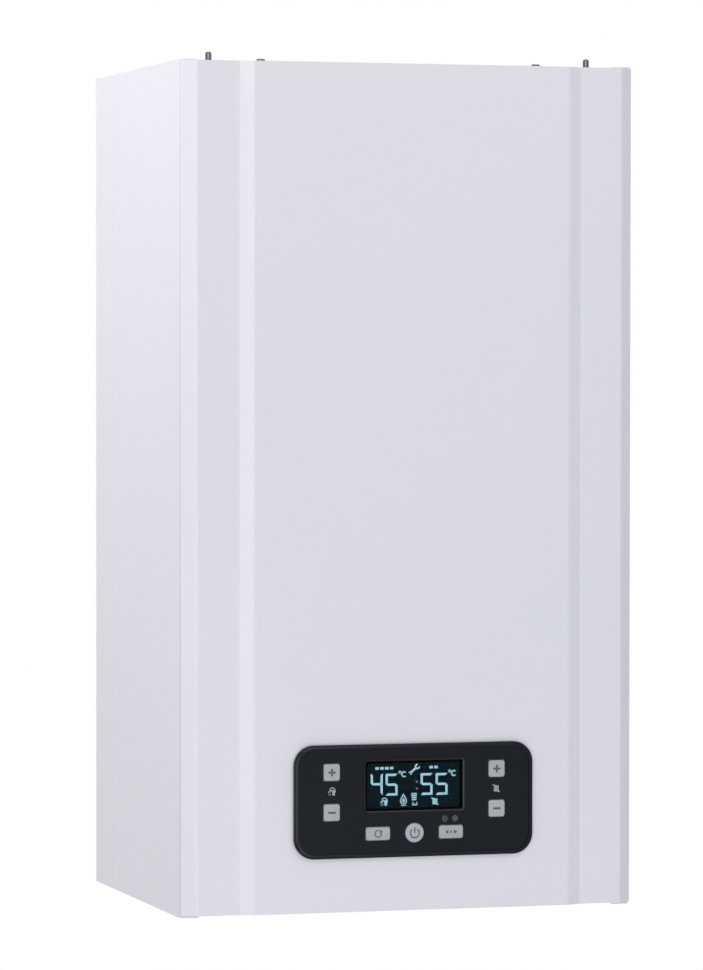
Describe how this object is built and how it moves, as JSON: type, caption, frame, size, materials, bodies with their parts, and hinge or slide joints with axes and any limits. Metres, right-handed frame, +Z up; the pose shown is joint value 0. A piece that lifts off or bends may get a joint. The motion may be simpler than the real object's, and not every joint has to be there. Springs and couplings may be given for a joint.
{
  "type": "wall-hung gas combi boiler",
  "caption": "Wall-hung gas combi boiler: white folded sheet-metal case with a raised front panel, lift-off cover, black control panel with lit display, and pipe stubs underneath.",
  "frame": {"origin": "midway between the two hanging holes in the back plate, on the wall plane", "axes": "+Y into the wall, so the front faces -Y; +X is the right as seen from the front; +Z is up"},
  "size_m": [0.41, 0.3334, 0.761],
  "materials": {
    "back_frame": "white powder coat",
    "side_panel_left": "white powder coat",
    "side_panel_right": "white powder coat",
    "top_plate": "galvanised sheet",
    "bottom_plate": "galvanised sheet",
    "casing_screws": "zinc plated",
    "cover_locating_pins": "bright steel",
    "front_cover": "white powder coat",
    "cover_screws": "zinc plated",
    "control_bezel": "gloss black moulding",
    "display_window": "tinted clear window",
    "display_module": "lit display",
    "keypad_mat": "moulded silicone",
    "display_board": "circuit board",
    "control_housing": "moulded black",
    "chassis": "galvanised sheet",
    "expansion_vessel": "red stove enamel",
    "vessel_pipe": "copper tube",
    "chamber_box": "galvanised sheet",
    "chamber_seals": "foam and rubber",
    "chamber_lid": "galvanised sheet",
    "firebox": "aluminised steel",
    "firebox_insulation": "ceramic fibre board",
    "burner": "stainless steel",
    "gas_manifold": "cast",
    "electrodes": "white ceramic",
    "heat_exchanger": "copper, satin",
    "flue_hood": "aluminised steel",
    "fan_housing": "pressed",
    "fan_motor": "black",
    "fan_impeller": "pressed",
    "air_pressure_switch": "moulded",
    "diverter_body": "cast brass",
    "diverter_motor": "moulded black",
    "diverter_spindle": "turned",
    "pump_body": "cast brass",
    "pump_motor": "dark red",
    "pump_impeller": "moulded",
    "air_vent": "turned",
    "relief_valve": "turned",
    "relief_valve_knob": "moulded red",
    "cold_inlet_block": "cast brass",
    "flow_turbine_rotor": "moulded",
    "filling_tap": "turned",
    "filling_tap_handle": "moulded black",
    "plate_exchanger": "stainless steel",
    "heating_pipes": "copper tube",
    "pipe_nuts": "machined",
    "sensors": "moulded",
    "gas_pipes": "copper tube",
    "gas_valve": "cast, with black coils",
    "control_box": "moulded grey",
    "cable_gland": "moulded black",
    "plus_left_button": "light grey",
    "minus_left_button": "light grey",
    "plus_right_button": "light grey",
    "minus_right_button": "light grey",
    "reset_button": "light grey",
    "power_button": "light grey",
    "mode_button": "light grey"
  },
  "bodies": {
    "boiler": {"back_frame": "back_frame", "side_panel_left": "side_panel_left", "side_panel_right": "side_panel_right", "top_plate": "top_plate", "bottom_plate": "bottom_plate", "casing_screws": "casing_screws", "cover_locating_pins": "cover_locating_pins", "chassis": "chassis", "expansion_vessel": "expansion_vessel", "vessel_pipe": "vessel_pipe", "chamber_box": "chamber_box", "chamber_seals": "chamber_seals", "chamber_lid": "chamber_lid", "firebox": "firebox", "firebox_insulation": "firebox_insulation", "burner": "burner", "gas_manifold": "gas_manifold", "electrodes": "electrodes", "heat_exchanger": "heat_exchanger", "flue_hood": "flue_hood", "fan_housing": "fan_housing", "fan_motor": "fan_motor", "air_pressure_switch": "air_pressure_switch", "diverter_body": "diverter_body", "diverter_motor": "diverter_motor", "pump_body": "pump_body", "pump_motor": "pump_motor", "air_vent": "air_vent", "relief_valve": "relief_valve", "cold_inlet_block": "cold_inlet_block", "filling_tap": "filling_tap", "plate_exchanger": "plate_exchanger", "heating_pipes": "heating_pipes", "pipe_nuts": "pipe_nuts", "sensors": "sensors", "gas_pipes": "gas_pipes", "gas_valve": "gas_valve", "control_box": "control_box", "cable_gland": "cable_gland"},
    "cover": {"front_cover": "front_cover", "cover_screws": "cover_screws", "control_bezel": "control_bezel", "display_window": "display_window", "display_module": "display_module", "keypad_mat": "keypad_mat", "display_board": "display_board", "control_housing": "control_housing"},
    "fan_rotor": {"fan_impeller": "fan_impeller"},
    "pump_rotor": {"pump_impeller": "pump_impeller"},
    "diverter": {"diverter_spindle": "diverter_spindle"},
    "flow_rotor": {"flow_turbine_rotor": "flow_turbine_rotor"},
    "relief_knob": {"relief_valve_knob": "relief_valve_knob"},
    "tap_handle": {"filling_tap_handle": "filling_tap_handle"},
    "plus_left_button": {"plus_left_button": "plus_left_button"},
    "minus_left_button": {"minus_left_button": "minus_left_button"},
    "plus_right_button": {"plus_right_button": "plus_right_button"},
    "minus_right_button": {"minus_right_button": "minus_right_button"},
    "reset_button": {"reset_button": "reset_button"},
    "power_button": {"power_button": "power_button"},
    "mode_button": {"mode_button": "mode_button"}
  },
  "joints": [
    {"name": "cover_lift", "type": "slide", "parent": "boiler", "child": "cover", "axis": [0, 0, 1], "range_m": [0, 0.752]},
    {"name": "fan_spin", "type": "hinge", "parent": "boiler", "child": "fan_rotor", "pos_m": [-0.03, -0.2147, -0.026], "axis": [0, 1, 0], "continuous": true},
    {"name": "pump_spin", "type": "hinge", "parent": "boiler", "child": "pump_rotor", "pos_m": [0.13, -0.1825, -0.5538], "axis": [0, 1, 0], "continuous": true},
    {"name": "flow_spin", "type": "hinge", "parent": "boiler", "child": "flow_rotor", "pos_m": [0.065, -0.16, -0.6558], "axis": [0, 0, 1], "continuous": true},
    {"name": "diverter_slide", "type": "slide", "parent": "boiler", "child": "diverter", "axis": [0, 1, 0], "range_m": [0, 0.006], "stiffness_N_per_m": 400},
    {"name": "relief_knob_turn", "type": "hinge", "parent": "boiler", "child": "relief_knob", "pos_m": [0.174, -0.16, -0.6298], "axis": [0, -1, 0], "range_deg": [-90, 0]},
    {"name": "tap_handle_turn", "type": "hinge", "parent": "boiler", "child": "tap_handle", "pos_m": [0.0975, -0.16, -0.665], "axis": [0, 0, -1], "range_deg": [0, 270]},
    {"name": "plus_left_press", "type": "slide", "parent": "cover", "child": "plus_left_button", "axis": [0, 1, 0], "range_m": [0, 0.0008], "stiffness_N_per_m": 1500},
    {"name": "minus_left_press", "type": "slide", "parent": "cover", "child": "minus_left_button", "axis": [0, 1, 0], "range_m": [0, 0.0008], "stiffness_N_per_m": 1500},
    {"name": "plus_right_press", "type": "slide", "parent": "cover", "child": "plus_right_button", "axis": [0, 1, 0], "range_m": [0, 0.0008], "stiffness_N_per_m": 1500},
    {"name": "minus_right_press", "type": "slide", "parent": "cover", "child": "minus_right_button", "axis": [0, 1, 0], "range_m": [0, 0.0008], "stiffness_N_per_m": 1500},
    {"name": "reset_press", "type": "slide", "parent": "cover", "child": "reset_button", "axis": [0, 1, 0], "range_m": [0, 0.0008], "stiffness_N_per_m": 1500},
    {"name": "power_press", "type": "slide", "parent": "cover", "child": "power_button", "axis": [0, 1, 0], "range_m": [0, 0.0008], "stiffness_N_per_m": 1500},
    {"name": "mode_press", "type": "slide", "parent": "cover", "child": "mode_button", "axis": [0, 1, 0], "range_m": [0, 0.0008], "stiffness_N_per_m": 1500}
  ]
}
